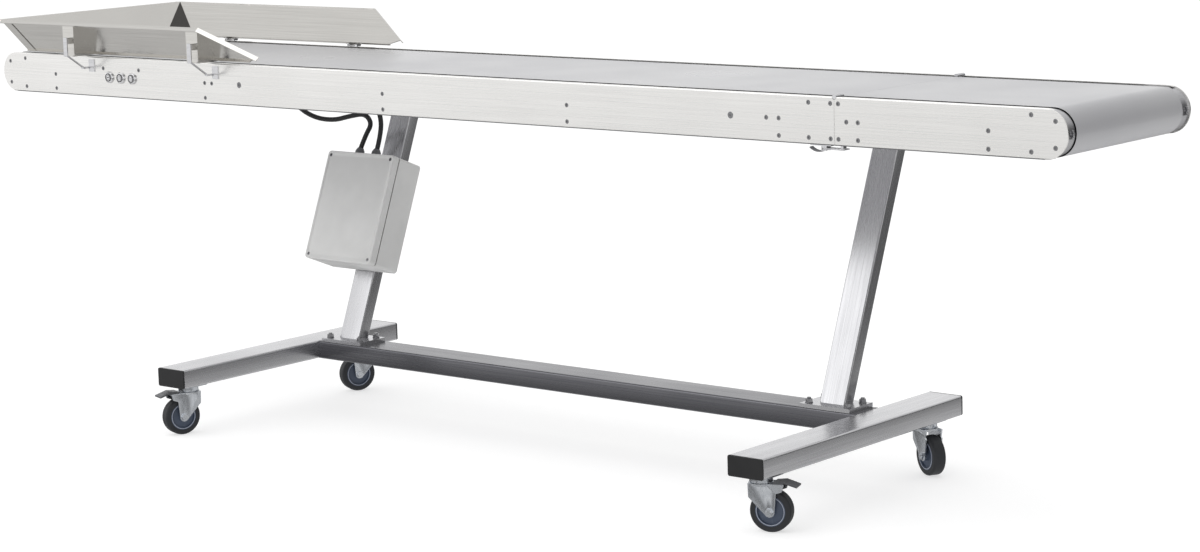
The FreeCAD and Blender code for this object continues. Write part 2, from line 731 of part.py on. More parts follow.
def leverEars(x):
    x = x + lever_offset
    z, y = lever_pivot_z, -lever_y + 3.5
    ears = [box(cx, cx + 2, y - 4, -hopper_half_top, z - 6, z + 6) for cx in (x - 8.5, x + 6.5)]
    pin = rod(1.5, (x - 8.5, y, z), (x + 8.5, y, z))
    return ears + [pin]


def keeper(x):
    x = x + lever_offset
    plate = box(x - 9, x + 9, -half - 2, -half, mid_z + 10, belt_height - 6)
    lip = box(x - 9, x + 9, -half - 12, -half - 2, mid_z + 20, mid_z + 22)
    return plate.fuse(lip).removeSplitter()


def makeHopper():
    panel = hopperPanel()
    parts = [panel, mirrorY(panel), hopperEnd()]
    hinges = [hopperHingeParts(x) for x in bracket_x]
    for x, (fixed, moving) in zip(bracket_x, hinges):
        front = bracket(x)
        parts += [front, mirrorY(front), moving] + leverEars(x)
    keep("hopper", fuse(parts))
    for x, name in zip(bracket_x, ("left", "right")):
        keep(f"hopper_latch_{name}", hopperLever(x))
    keep("latch_keepers", *([keeper(x) for x in bracket_x] + [fixed for fixed, moving in hinges]
                            + [latchBase()]))
    keep("tail_latch_lever", latchLever())


# ======== control box on the left post, drawn upright and leant with the post ========

def leanWithPost(shape):
    shape.rotate(Vec(0, 0, 0), Vec(1, 0, 0), -post_lean)
    shape.translate(Vec(-post_x, post_foot_y, tube_top))
    return shape


def boxBlock(y0, y1, inset=0.0):
    w = box_width/2 - inset
    return box(-w, w, -y1, -y0, box_start + inset, box_start + box_length - inset)


def lidPlaces():
    w, top, low = box_width/2 - 10, box_start + box_length - 10, box_start + 10
    return [(-w, top), (w, top), (-w, low), (w, low)]


def lidScrews():
    face = box_back + box_depth + lid_depth
    plain, done = screwSet([(x, z, 4.0) for x, z in lidPlaces()], -face, -1)
    return [leanWithPost(s) for s in plain], [leanWithPost(s) for s in done]


def makeControlBox():
    back, split = box_back, box_back + box_depth
    base = roundEdges(boxBlock(back, split - seal_depth), box_radius, (0, 1, 0))
    base = base.cut(boxBlock(back + 3, split, 3.0))
    feet = [box(x - 12, x + 12, -back, -post_depth/2, z - 12, z + 12)
            for x in (-18, 18) for z in (box_start + 30, box_start + box_length - 30)]
    base = fuse([base] + feet)
    lid = roundEdges(boxBlock(split, split + lid_depth), box_radius, (0, 1, 0))
    lid = roundEdges(lid, 1.5, (1, 0, 0), lambda p: p.y < -split - lid_depth + 0.01)
    lid = lid.cut(boxBlock(split - 1, split + lid_depth - 6, 6.0))
    plain, done = screwSet([(x, z, 4.0) for x, z in lidPlaces()], -(split + lid_depth), -1)
    lid = cutAll(lid, plain)
    seal = roundEdges(boxBlock(split - seal_depth, split, 1.5), box_radius - 1.5, (0, 1, 0))
    seal = seal.cut(boxBlock(split - seal_depth - 1, split + 1, 6.0))
    top = box_start + box_length
    glands = []
    for x in gland_x:
        x = x + post_x
        nut = hexagon(x, -gland_off, top, 22.0, 6.0)
        body = rod(gland_r - 1.5, (x, -gland_off, top + 6), (x, -gland_off, top + 13))
        dome = Part.makeCone(gland_r - 1.5, 7.0, 7.0, Vec(x, -gland_off, top + 13), Vec(0, 0, 1))
        glands.append(leanWithPost(fuse([nut, body, dome])))
    keep("control_box_base", leanWithPost(base))
    keep("control_box_lid", leanWithPost(lid))
    keep("control_box_seal", leanWithPost(seal))
    return glands


def glandTip(x):
    s, n = box_start + box_length + 20.0, gland_off
    return (x, post_foot_y + math.sin(lean)*s - math.cos(lean)*n,
            tube_top + math.cos(lean)*s + math.sin(lean)*n)


def cableTube(name, points, r):
    # straight runs joined by tangent arcs, each as large as its two runs allow
    pts = [Vec(*p) for p in points]
    edges, start = [], pts[0]
    for a, b, c in zip(pts, pts[1:], pts[2:]):
        u, v = (b - a).normalize(), (c - b).normalize()
        turn = u.getAngle(v)
        shorter = min((b - a).Length, (c - b).Length)
        back = 0.45*shorter
        print(f"{name}: arc radius {back/math.tan(turn/2):.0f}")
        enter, leave = b - u*back, b + v*back
        bow = (v - u).normalize()
        radius = back/math.tan(turn/2)
        middle = b + bow*(radius/math.cos(turn/2) - radius)
        edges += [Part.makeLine(start, enter), Part.Arc(enter, middle, leave).toShape()]
        start = leave
    edges.append(Part.makeLine(start, pts[-1]))
    path = Part.Wire(edges)
    first = (pts[1] - pts[0]).normalize()
    ring_wire = Part.Wire(Part.makeCircle(r, pts[0], first))
    tube = path.makePipeShell([ring_wire], True, False)
    length = path.Length
    print(f"{name}: length {length:.0f} mm, volume share {tube.Volume/(math.pi*r*r*length):.4f}")
    return tube


motor_cable_points = [(-711.0, 214.0, 572.0), (-704.0, 224.0, 600.0), (-676.0, 223.0, 630.0),
                      (-692.0, 216.0, 668.0), (-738.0, 208.0, 656.0), (-782.0, 202.0, 637.0),
                      (-838.0, 196.0, 640.0), (-888.0, 194.0, 662.0), (-922.0, 193.0, 698.0),
                      (-930.0, 193.0, 730.0)]
panel_cable_points = [(-660.0, 214.0, 572.0), (-658.0, 224.0, 600.0), (-648.0, 220.0, 640.0),
                      (-650.0, 203.0, 682.0), (-655.0, 195.0, 712.0), (-656.0, 194.0, 730.0)]


def makeCables(glands):
    entries, cables = [], []
    for name, points in (("motor_cable", motor_cable_points), ("panel_cable", panel_cable_points)):
        x = gland_x[0] if name == "motor_cable" else gland_x[1]
        points = [glandTip(x)] + points[1:]
        cable = cableTube(name, points, cable_r)
        cables.append(cable)
        keep(name, cable)
        end = points[-1]
        entries.append(box(end[0] - entry_half, end[0] + entry_half, belt_half + entry_gap, inner,
                           end[2], end[2] + entry_height))
    keep("cable_glands", *[cutAll(part, cables) for part in glands + entries])


# ======== push buttons ========

def housingPlaces():
    return [(button_mid + dx, mid_z + 19.0, screw_head_r) for dx in (-58.0, 59.0)]


def buttonPlaces():
    return [button_mid + k*button_pitch for k in (-1, 0, 1)]


def makeButtons():
    y_face, y_back = -half - 4.0, -belt_half - 3.0
    x0, x1 = button_mid - 64.0, button_mid + 64.0
    housing = box(x0, x1, -inner, y_back, mid_z - 16, mid_z + 23)
    housing = housing.cut(box(x0 + 2, x1 - 2, -inner + 2, y_back - 2, mid_z - 14, mid_z + 16))
    plain, done = screwSet(housingPlaces(), -half, -1)
    collars = []
    for x in buttonPlaces():
        flange = rod(collar_r, (x, y_face, mid_z), (x, -half, mid_z))
        flange = flange.makeChamfer(1.2, [e for e in flange.Edges if abs(e.CenterOfMass.y - y_face) < 0.01])
        sleeve = rod(collar_r - 1.5, (x, -half, mid_z), (x, -inner + 2, mid_z))
        collars.append(flange.fuse(sleeve).cut(rod(button_r + button_gap, (x, y_face - 1, mid_z),
                                                   (x, -inner + 3, mid_z))))
    housing = cutAll(housing, plain + [rod(collar_r - 1.5, (x, -inner - 1, mid_z), (x, -inner + 3, mid_z))
                                       for x in buttonPlaces()])
    keep("button_housing", housing, *collars)
    for x, name in zip(buttonPlaces(), ("stop", "one", "two")):
        cap = rod(button_r, (x, y_face - 1.5, mid_z), (x, -inner + 8, mid_z))
        cap = cap.makeFillet(0.8, [e for e in cap.Edges if abs(e.CenterOfMass.y - y_face + 1.5) < 0.01])
        keep(f"button_{name}", cap)


# ======== castors, drawn with the wheel trailing along +X and then turned ========

def castorFork(braked):
    top, crown = castor_height - 15.3, castor_height - 20.0
    n0 = wheel_width/2 + 3.0
    n1 = n0 + fork_sheet
    plate = rod(24.0, (0, 0, crown), (0, 0, top))
    reach = 48.0 if braked else 34.0
    plate = plate.fuse(box(0, reach - 10, -n1, n1, crown, top)) if not braked else plate
    legs = []
    for y in (-n1, n0):
        outline = [(-21.0, y, top), (reach, y, top), (reach - 4, y, top - 14), (castor_trail + 13, y, top - 18),
                   (castor_trail + 10, y, wheel_r + 2), (castor_trail + 6, y, wheel_r - 8),
                   (castor_trail - 6, y, wheel_r - 8), (-20.0, y, top - 26)]
        leg = prism(outline, (0, fork_sheet, 0))
        legs.append(leg.fuse(rod(10.0, (castor_trail, y, wheel_r), (castor_trail, y + fork_sheet, wheel_r))))
    shape = fuse([plate] + legs)
    shape = shape.cut(rod(6.0 + shaft_fit, (0, 0, crown - 1), (0, 0, top + 1)))
    pivot = rod(2.0, (38.0, -n1, top - 6), (38.0, n1, top - 6))
    shape = shape.cut(rod(4.0, (castor_trail, -n1 - 1, wheel_r), (castor_trail, n1 + 1, wheel_r)))
    axle = rod(4.0, (castor_trail, -n1 - 6, wheel_r), (castor_trail, n1 + 3, wheel_r))
    head = hexagonY(castor_trail, -n1 - 5, wheel_r, 13.0, 5.0)
    nut = hexagonY(castor_trail, n1, wheel_r, 13.0, 6.0)
    axle = fuse([axle, head, nut])
    if braked:
        shape = shape.fuse(pivot).removeSplitter()
    return shape, axle


def hexagonY(x, y, z, across, height):
    points = [(x + across/math.sqrt(3)*math.cos(math.radians(60*k)), y,
               z + across/math.sqrt(3)*math.sin(math.radians(60*k))) for k in range(6)]
    return prism(points, (0, height, 0))


def castorHead():
    plate = roundEdges(box(-32, 32, -30, 30, castor_height - 3, castor_height), 6.0, (0, 0, 1))
    cup = rod(head_r, (0, 0, castor_height - 15), (0, 0, castor_height - 3))
    pin = rod(6.0, (0, 0, castor_height - 24), (0, 0, castor_height - 3))
    nut = rod(9.0, (0, 0, castor_height - 24), (0, 0, castor_height - 20.3))
    return fuse([plate, cup, pin, nut])


def castorHub():
    w = wheel_width/2
    x, z = castor_trail, wheel_r
    profile = [(4.0 + shaft_fit, -w - 2), (9.0, -w - 2), (10.0, -w + 3), (24.0, -w + 4), (25.5, -w), (hub_r, -w),
               (hub_r, w), (25.5, w), (24.0, w - 4), (10.0, w - 3), (9.0, w + 2), (4.0 + shaft_fit, w + 2)]
    points = [Vec(x, y, z + r) for r, y in profile]
    face = Part.Face(Part.makePolygon(points + points[:1]))
    return face.revolve(Vec(x, 0, z), Vec(0, 1, 0), 360)


def castorTyre():
    w = wheel_width/2
    body = ring(wheel_r, hub_r, (castor_trail, -w, wheel_r), (castor_trail, w, wheel_r))
    edges = [e for e in body.Edges if e.Curve.TypeId == "Part::GeomCircle" and e.Curve.Radius > hub_r + 1]
    return body.makeFillet(4.5, edges)


def brakePedal():
    top = castor_height - 15.3
    w = wheel_width/2 + 2.6
    pad = prism([(27.0, -w, top + 3), (46.0, -w, top + 5), (72.0, -w, top - 3), (72.0, -w, top - 6),
                 (46.0, -w, top + 1.5), (27.0, -w, top - 0.3)], (0, 2*w, 0))
    ears = [prism([(32.0, y, top + 2), (46.0, y, top + 2), (42.0, y, top - 10), (34.0, y, top - 10)],
                  (0, 2.5, 0)) for y in (-w, w - 2.5)]
    hole = rod(2.0 + shaft_fit, (38.0, -w - 1, top - 6), (38.0, w + 1, top - 6))
    return fuse([pad] + ears).cut(hole)


def makeCastors():
    heads = []
    for name, (sx, sy, heading) in castors.items():
        braked = sy < 0
        x, y = sx*castor_x, -castor_front if sy < 0 else castor_rear
        fork, axle = castorFork(braked)
        pieces = {f"castor_fork_{name}": [fork, axle], f"castor_hub_{name}": [castorHub()],
                  f"castor_tyre_{name}": [castorTyre()]}
        if braked:
            pieces[f"brake_pedal_{name}"] = [brakePedal()]
        for node, shapes in pieces.items():
            for shape in shapes:
                shape.rotate(Vec(0, 0, 0), Vec(0, 0, 1), heading)
                shape.translate(Vec(x, y, 0))
            keep(node, *shapes)
        head = castorHead()
        head.translate(Vec(x, y, 0))
        heads.append(head)
    keep("castor_heads", *heads)


makeBase()
makeFootBolts()
makeFrame()
makeHopper()
makeCables(makeControlBox())
makeButtons()
makeCastors()
boxes = [whole.optimalBoundingBox(False) for whole in nodes.values()]
shift = Vec(-(min(b.XMin for b in boxes) + max(b.XMax for b in boxes))/2,
            -(min(b.YMin for b in boxes) + max(b.YMax for b in boxes))/2, 0)
for name, whole in nodes.items():
    whole.translate(shift)
    whole.exportStep(f"parts/{name}.step")
print(f"{len(nodes)} nodes, origin shift {shift.x:.2f} {shift.y:.2f}")
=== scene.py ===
import json
import math

import bmesh
import bpy
from mathutils import Matrix, Vector


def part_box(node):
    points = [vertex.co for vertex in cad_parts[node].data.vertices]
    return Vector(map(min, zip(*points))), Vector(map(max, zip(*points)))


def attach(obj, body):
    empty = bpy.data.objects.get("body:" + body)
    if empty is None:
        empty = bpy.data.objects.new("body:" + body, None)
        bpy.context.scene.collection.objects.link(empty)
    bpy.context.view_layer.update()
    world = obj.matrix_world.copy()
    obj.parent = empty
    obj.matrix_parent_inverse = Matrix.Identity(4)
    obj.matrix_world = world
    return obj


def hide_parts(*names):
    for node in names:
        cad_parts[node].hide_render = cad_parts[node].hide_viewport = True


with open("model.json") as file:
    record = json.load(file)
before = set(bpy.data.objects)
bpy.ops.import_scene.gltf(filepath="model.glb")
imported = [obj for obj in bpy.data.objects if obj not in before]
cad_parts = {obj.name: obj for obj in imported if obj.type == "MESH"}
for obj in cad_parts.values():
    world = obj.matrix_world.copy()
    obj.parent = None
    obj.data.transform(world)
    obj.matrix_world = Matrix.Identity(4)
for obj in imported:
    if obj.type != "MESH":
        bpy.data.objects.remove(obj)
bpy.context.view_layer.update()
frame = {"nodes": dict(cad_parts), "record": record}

nodes = frame["nodes"]
slotOf = {row["node"]: row["material_slot"] for row in frame["record"]["subparts"]}
bodyOf = {n: body for body, names in frame["record"]["behaviour"]["bodies"].items() for n in names}
scene = bpy.context.scene

# the belt is symmetrical across the machine, and the front plate starts at its left end
plateLeftToMiddle = 1.425
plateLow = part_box("side_plate_front")[0]
beltLow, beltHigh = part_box("belt_main")
machineMiddle = Vector((plateLow.x + plateLeftToMiddle, (beltLow.y + beltHigh.y) / 2, 0))


def place(x, y, z):
    # millimetres from the middle of the wheeled base, to metres in the frame
    return machineMiddle + Vector((x, y, z)) / 1000


# ---- camera ----
cameraPlan = {
    "place": (3.9695, -4.5246, 1.365),
    "yaw": 0.6986,
    "pitch": 0.1661,
    "roll": -0.0292,
    "lens": 88.29,
    "shift": (0.0025, 0.0025),
}


def makeCamera(plan):
    yaw, pitch, roll = plan["yaw"], plan["pitch"], plan["roll"]
    right = Vector((math.cos(yaw), math.sin(yaw), 0))
    ahead = Vector((-math.sin(yaw) * math.cos(pitch), math.cos(yaw) * math.cos(pitch), -math.sin(pitch)))
    up = right.cross(ahead)
    tiltedRight = right * math.cos(roll) + up * math.sin(roll)
    tiltedUp = up * math.cos(roll) - right * math.sin(roll)
    turn = Matrix((tiltedRight, tiltedUp, -ahead)).transposed()
    data = bpy.data.cameras.new("camera")
    data.lens = plan["lens"]
    data.sensor_width = 36
    data.shift_x, data.shift_y = plan["shift"]
    data.clip_end = 60
    camera = bpy.data.objects.new("camera", data)
    camera.matrix_world = Matrix.Translation(plan["place"]) @ turn.to_4x4()
    scene.collection.objects.link(camera)
    scene.camera = camera


makeCamera(cameraPlan)
print("camera done")


# ---- nodes and materials ----
def colour(hexText):
    # sRGB hex to linear
    parts = [int(hexText[i:i + 2], 16) / 255 for i in (0, 2, 4)]
    return tuple(c / 12.92 if c <= 0.04045 else ((c + 0.055) / 1.055) ** 2.4 for c in parts) + (1.0,)


def addNode(tree, kind, settings=None, inputs=None):
    node = tree.nodes.new(kind)
    for key, value in (settings or {}).items():
        setattr(node, key, value)
    for key, value in (inputs or {}).items():
        if isinstance(value, bpy.types.NodeSocket):
            tree.links.new(value, node.inputs[key])
        else:
            node.inputs[key].default_value = value
    return node


def perMetre(millimetres):
    # a pattern with this spacing repeats this many times in a metre
    return 1000 / millimetres


def startMaterial(name, look):
    material = bpy.data.materials.new(name)
    material.use_nodes = True
    tree = material.node_tree
    shader = tree.nodes["Principled BSDF"]
    shader.inputs["Base Color"].default_value = colour(look["colour"])
    shader.inputs["Metallic"].default_value = look.get("metallic", 0.0)
    shader.inputs["Roughness"].default_value = look["roughness"]
    if "coat" in look:
        shader.inputs["Coat Weight"].default_value = look["coat"]
        shader.inputs["Coat Roughness"].default_value = look["coatRoughness"]
    if "ior" in look:
        shader.inputs["IOR"].default_value = look["ior"]
    if "specular" in look:
        shader.inputs["Specular IOR Level"].default_value = look["specular"]
    where = addNode(tree, "ShaderNodeTexCoord").outputs["Object"]
    return material, tree, shader, where


def spread(tree, shader, factor, look):
    # colour and roughness wander between two values over the surface
    tint = addNode(tree, "ShaderNodeMix", {"data_type": "RGBA"})
    tree.links.new(factor, tint.inputs[0])
    tint.inputs[6].default_value = colour(look["colour"])
    tint.inputs[7].default_value = colour(look["worn"])
    tree.links.new(tint.outputs[2], shader.inputs["Base Color"])
    rough = addNode(tree, "ShaderNodeMapRange", None,
                    {"Value": factor, "To Min": look["roughness"], "To Max": look["roughest"]})
    tree.links.new(rough.outputs["Result"], shader.inputs["Roughness"])


def brushedMetal(name, look):
    # belt-ground steel: long fine scratches along one way that stretch each highlight across them
    material, tree, shader, where = startMaterial(name, look)
    turn = look.get("turn", (0, 0, 0))
    turned = addNode(tree, "ShaderNodeMapping", None, {"Vector": where, "Rotation": turn})
    across, along = perMetre(look["scratchWidth"]), perMetre(look["scratchLength"])
    stretch = [along if axis == look["along"] else across for axis in "xyz"]
    laid = addNode(tree, "ShaderNodeMapping", None, {"Vector": turned.outputs[0], "Scale": stretch})
    scratches = addNode(tree, "ShaderNodeTexNoise", None,
                        {"Vector": laid.outputs[0], "Scale": 1.0, "Detail": 3.0, "Roughness": 0.65})
    clouds = addNode(tree, "ShaderNodeTexNoise", None,
                     {"Vector": where, "Scale": perMetre(look["cloud"]), "Detail": 2.0})
    both = addNode(tree, "ShaderNodeMath", {"operation": "MULTIPLY_ADD"},
                   {0: clouds.outputs[0], 1: 0.35, 2: scratches.outputs[0]})
    factor = addNode(tree, "ShaderNodeMapRange", None,
                     {"Value": both.outputs[0], "From Min": 0.42, "From Max": 0.95})
    spread(tree, shader, factor.outputs["Result"], look)
    bump = addNode(tree, "ShaderNodeBump", None,
                   {"Height": scratches.outputs[0], "Strength": look["strength"],
                    "Distance": look["depth"] / 1000})
    tree.links.new(bump.outputs[0], shader.inputs["Normal"])
    return material


def grainedSurface(name, look):
    # moulded, plated or rubber surface: a fine even grain with slow patches of shine
    material, tree, shader, where = startMaterial(name, look)
    grain = addNode(tree, "ShaderNodeTexNoise", None,
                    {"Vector": where, "Scale": perMetre(look["grain"]), "Detail": 2.0, "Roughness": 0.6})
    patches = addNode(tree, "ShaderNodeTexNoise", None, {"Vector": where, "Scale": perMetre(look["patch"])})
    factor = addNode(tree, "ShaderNodeMapRange", None,
                     {"Value": patches.outputs[0], "From Min": 0.3, "From Max": 0.7})
    spread(tree, shader, factor.outputs["Result"], look)
    bump = addNode(tree, "ShaderNodeBump", None,
                   {"Height": grain.outputs[0], "Strength": look["strength"],
                    "Distance": look["depth"] / 1000})
    tree.links.new(bump.outputs[0], shader.inputs["Normal"])
    return material


# a 0.3 mm scratch is too fine to show, so scratches are drawn 1 to 3 mm wide
steel = {
    "metallic": 1.0, "scratchWidth": 2.2, "scratchLength": 260, "cloud": 180, "strength": 0.1, "depth": 0.05,
}
postLean = math.radians(21.9)
tubeSteel = {**steel, "colour": "D2D2D4", "worn": "BEBEC1", "roughness": 0.2, "roughest": 0.34}
metals = {
    # square tube, brushed lengthways: darker than sheet, with crisp reflections
    "brushedTubeAcross": {**tubeSteel, "along": "y"},
    # the long tube: the same tube steel painted darker, as painted shade on its front face
    "brushedTubeAlongPaintedShade": {**tubeSteel, "along": "x", "colour": "7C7C80", "worn": "69696E"},
    "brushedPost": {**tubeSteel, "along": "z", "turn": (postLean, 0, 0)},
    # fine-ground stainless sheet: nearly white under a soft light, no clear reflection
    "brushedSidePlate": {**steel, "colour": "F2F1EF", "worn": "EAE9E7", "roughness": 0.24, "roughest": 0.3,
                         "along": "x", "strength": 0.04},
    # folded stainless sheet of the hopper: a little mirror left in it
    "brushedHopperSheet": {**steel, "colour": "D6D4D0", "worn": "C5C3BF", "roughness": 0.16,
                           "roughest": 0.24, "along": "x", "strength": 0.03},
    # turned bar and machined block: fine rings, even shine
    "turnedSteel": {**steel, "colour": "C4C4C6", "worn": "AFAFB2", "roughness": 0.24, "roughest": 0.34,
                    "along": "y", "scratchWidth": 1.2, "scratchLength": 60},
    # a grey strip along the folded lower edge of the side plates: painted shade on that edge
    "paintedShadeSteelLip": {**steel, "colour": "7E7E80", "worn": "6E6E70", "roughness": 0.4, "roughest": 0.5,
                       "along": "x"},
    # a dark sheet laid on the folded-in corner of the hopper: a painted reflection of the dark side of the
    # room
    "paintedReflectionHopperCorner": {**steel, "colour": "4E4C4A", "worn": "3E3D3B", "roughness": 0.4, "roughest": 0.5,
                         "along": "z"},
    # barrel-polished hinge and latch parts
    "polishedHardware": {**steel, "colour": "D6D6D8", "worn": "C4C4C7", "roughness": 0.12, "roughest": 0.22,
                         "along": "x", "scratchLength": 30},
    # electropolished screw heads
    "brightFastener": {**steel, "colour": "8E8E90", "worn": "767679", "roughness": 0.16, "roughest": 0.26,
                       "along": "y", "scratchWidth": 1.0, "scratchLength": 8},
    # chrome-plated push button caps and collars
    "buttonChrome": {**steel, "colour": "F0F0F2", "worn": "E4E4E6", "roughness": 0.2, "roughest": 0.28,
                     "along": "y", "scratchWidth": 1.5, "scratchLength": 20, "strength": 0.02},
    # bright zinc on pressed castor steel: bluish and slightly mottled
    "brightZinc": {**steel, "colour": "E0E3E7", "worn": "C6CAD0", "roughness": 0.18, "roughest": 0.34,
                   "along": "z", "scratchWidth": 5, "scratchLength": 9, "cloud": 25},
    # oil-blackened pressed steel of the brake pedals
    "darkPedalSteel": {**steel, "colour": "7A7B7E", "worn": "5C5D60", "roughness": 0.3, "roughest": 0.45,
                       "along": "x", "scratchWidth": 3, "scratchLength": 12},
}
moulded = {"grain": 1.6, "patch": 60, "strength": 0.2, "depth": 0.08}
plains = {
    # low density polyethylene end cap: soft black, slightly scuffed
    "mouldedBlackPolyethylene": {**moulded, "colour": "0C0C0D", "worn": "18181A", "roughness": 0.38,
                                 "roughest": 0.5, "ior": 1.5},
    # extruded wear strip down in the gap beside the belt: dull black; the same black, laid on the belt's cut
    # edges, is painted shade of the gap
    "wearStripBlackAndPaintedGapShade": {**moulded, "colour": "050506", "worn": "0B0B0C", "roughness": 0.7,
                          "roughest": 0.8, "specular": 0.05},
    # smooth polyurethane conveyor belt: pale grey, satin
    "satinPolyurethaneBelt": {**moulded, "colour": "B4B4B6", "worn": "ADADB0", "roughness": 0.26,
                              "roughest": 0.34, "ior": 1.5, "grain": 4, "patch": 240, "depth": 0.05},
    # sprayed-texture polycarbonate enclosure: light grey, fine orange peel
    "mouldedPolycarbonate": {**moulded, "colour": "D6D6D5", "worn": "CFCFCE", "roughness": 0.4,
                             "roughest": 0.5, "ior": 1.58},
    # foamed rubber in the lid joint, dull black
    "foamedRubberSeal": {**moulded, "colour": "060607", "worn": "0C0C0D", "roughness": 0.8, "roughest": 0.9,
                         "specular": 0.1},
    # extruded cable sheath: near black, slightly shiny
    "extrudedCableSheath": {**moulded, "colour": "141416", "worn": "1E1E21", "roughness": 0.42,
                            "roughest": 0.55, "ior": 1.5},
    # moulded cable glands: mid grey
    "mouldedGreyPolyamide": {**moulded, "colour": "6E6F72", "worn": "626366", "roughness": 0.45,
                             "roughest": 0.55},
    # cast polyamide wheel centre: blue grey with a soft shine
    "mouldedBluePolyamide": {**moulded, "colour": "4A5568", "worn": "424C5D", "roughness": 0.34,
                             "roughest": 0.46},
    # moulded ring on the wheel centre, paler than the rest of it
    "paleWheelRing": {**moulded, "colour": "AEB3C0", "worn": "A2A7B5", "roughness": 0.35, "roughest": 0.45},
    # thermoplastic rubber tread: charcoal, a little dusty
    "mouldedTyreRubber": {**moulded, "colour": "1D1F22", "worn": "2B2D31", "roughness": 0.55,
                          "roughest": 0.7},
    # black paint in an engraved mark
    "engravedInk": {**moulded, "colour": "0E0E10", "worn": "161618", "roughness": 0.5, "roughest": 0.6},
}
finish = {name: brushedMetal(name, look) for name, look in metals.items()}
finish.update({name: grainedSurface(name, look) for name, look in plains.items()})

materialOfSlot = {
    "tube_steel": "brushedTubeAcross", "black_cap": "mouldedBlackPolyethylene", "fastener": "brightFastener",
    "plate_steel": "brushedSidePlate", "bar_steel": "turnedSteel", "wear_plastic": "wearStripBlackAndPaintedGapShade",
    "block_steel": "turnedSteel", "drum_steel": "turnedSteel", "belt": "satinPolyurethaneBelt",
    "hinge_steel": "polishedHardware", "hopper_sheet": "brushedHopperSheet",
    "box_grey": "mouldedPolycarbonate", "seal_rubber": "foamedRubberSeal",
    "cable_sheath": "extrudedCableSheath", "gland_grey": "mouldedGreyPolyamide",
    "button_ring": "buttonChrome", "button_cap": "buttonChrome", "castor_zinc": "brightZinc",
    "hub_plastic": "mouldedBluePolyamide", "castor_tyre": "mouldedTyreRubber",
}
materialOfNode = {
    # the long tube takes the darker copy of the tube steel: painted shade
    "long_tube": "brushedTubeAlongPaintedShade", "post_left": "brushedPost", "post_right": "brushedPost",
    "tail_latch_lever": "brightFastener",
    "brake_pedal_front_left": "darkPedalSteel", "brake_pedal_front_right": "darkPedalSteel",
}


def finishOf(node):
    return finish[materialOfNode.get(node, materialOfSlot[slotOf[node]])]


for name, node in nodes.items():
    if not node.material_slots:
        node.data.materials.append(None)
    for materialSlot in node.material_slots:
        materialSlot.link = "OBJECT"
        materialSlot.material = finishOf(name)
print("materials done:", len(finish))


# ---- cords ----
cords = {
    "motor_cable": {"thickness": 11, "length": 370, "points": [
        (-711, 214.1, 571.2), (-704, 224, 600), (-680, 222, 628), (-695, 216, 651), (-738, 209, 643),
        (-782, 203, 632), (-838, 197, 636), (-888, 194, 659), (-922, 193, 698), (-930, 193, 730)]},
    "panel_cable": {"thickness": 11, "length": 165, "points": [
        (-660, 214.1, 571.2), (-658, 224, 600), (-648, 220, 640), (-650, 203, 682), (-655, 195, 712),
        (-656, 194, 730)]},
}


def makeCord(name, plan):
    data = bpy.data.curves.new(name + "_sheath", "CURVE")
    data.dimensions = "3D"
    data.bevel_depth = plan["thickness"] / 2000
    data.bevel_resolution = 6
    data.use_fill_caps = True
    spline = data.splines.new("NURBS")
    spline.points.add(len(plan["points"]) - 1)
    for point, spot in zip(spline.points, plan["points"]):
        point.co = (*place(*spot), 1)
    spline.order_u = 3
    spline.use_endpoint_u = True
    spline.resolution_u = 16
    piece = bpy.data.objects.new(name + "_sheath", data)
    scene.collection.objects.link(piece)
    data.materials.append(finish["extrudedCableSheath"])
    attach(piece, "frame")
    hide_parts(name)


for name, plan in cords.items():
    makeCord(name, plan)
print("cords done")


# ---- pieces with eased edges, in place of the sharp ones ----
def addPiece(name, mesh, body, material, replaced=()):
    piece = bpy.data.objects.new(name, mesh)
    scene.collection.objects.link(piece)
    mesh.materials.clear()
    mesh.materials.append(finish[material] if isinstance(material, str) else material)
    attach(piece, body)
    if replaced:
        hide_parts(*replaced)
    return piece


# metres for the weld, degrees for the rest; the hopper's shallow folds stay crisp
easing = {"weld": 2e-6, "flat": 0.4, "sharp": 40, "hopperSharp": 15}


def shadeSmooth(piece, sharpDegrees):
    mesh = piece.data
    for polygon in mesh.polygons:
        polygon.use_smooth = True
    mesh.set_sharp_from_angle(angle=math.radians(sharpDegrees))


def easeEdges(node, ease):
    # the same shape with each sharp edge rounded by this many millimetres, so that it catches light
    mesh = nodes[node].data.copy()
    work = bmesh.new()
    work.from_mesh(mesh)
    bmesh.ops.remove_doubles(work, verts=work.verts, dist=easing["weld"])
    if node not in keptTriangles:
        flat = math.radians(easing["flat"])
        bmesh.ops.dissolve_limit(work, angle_limit=flat, verts=work.verts, edges=work.edges)
    work.to_mesh(mesh)
    work.free()
    piece = addPiece(node + "_eased", mesh, bodyOf[node], finishOf(node), (node,))
    shadeSmooth(piece, easing["hopperSharp"] if node == "hopper" else easing["sharp"])
    bevel = piece.modifiers.new("easedEdges", "BEVEL")
    bevel.width = ease / 1000
    bevel.segments = 2
    bevel.limit_method = "ANGLE"
    bevel.angle_limit = math.radians(easing["sharp"])
    bevel.harden_normals = True
    return piece


easedBy = {
    "post_left": 1.0, "post_right": 1.0, "cross_tube_left": 0.5, "cross_tube_right": 0.5, "long_tube": 0.5,
    "tube_end_caps": 0.8, "foot_bolts": 0.4,
    "hopper": 0.6, "hopper_latch_left": 0.5, "hopper_latch_right": 0.5, "latch_keepers": 0.4,
    "tail_latch_lever": 0.4, "control_box_base": 1.0, "control_box_lid": 0.8,
    "cable_glands": 0.6, "drive_end_blocks": 0.6, "tail_end_blocks": 0.6, "button_housing": 0.4,
    "castor_heads": 0.8, "plate_screws": 0.2, "tail_screws": 0.2,
}
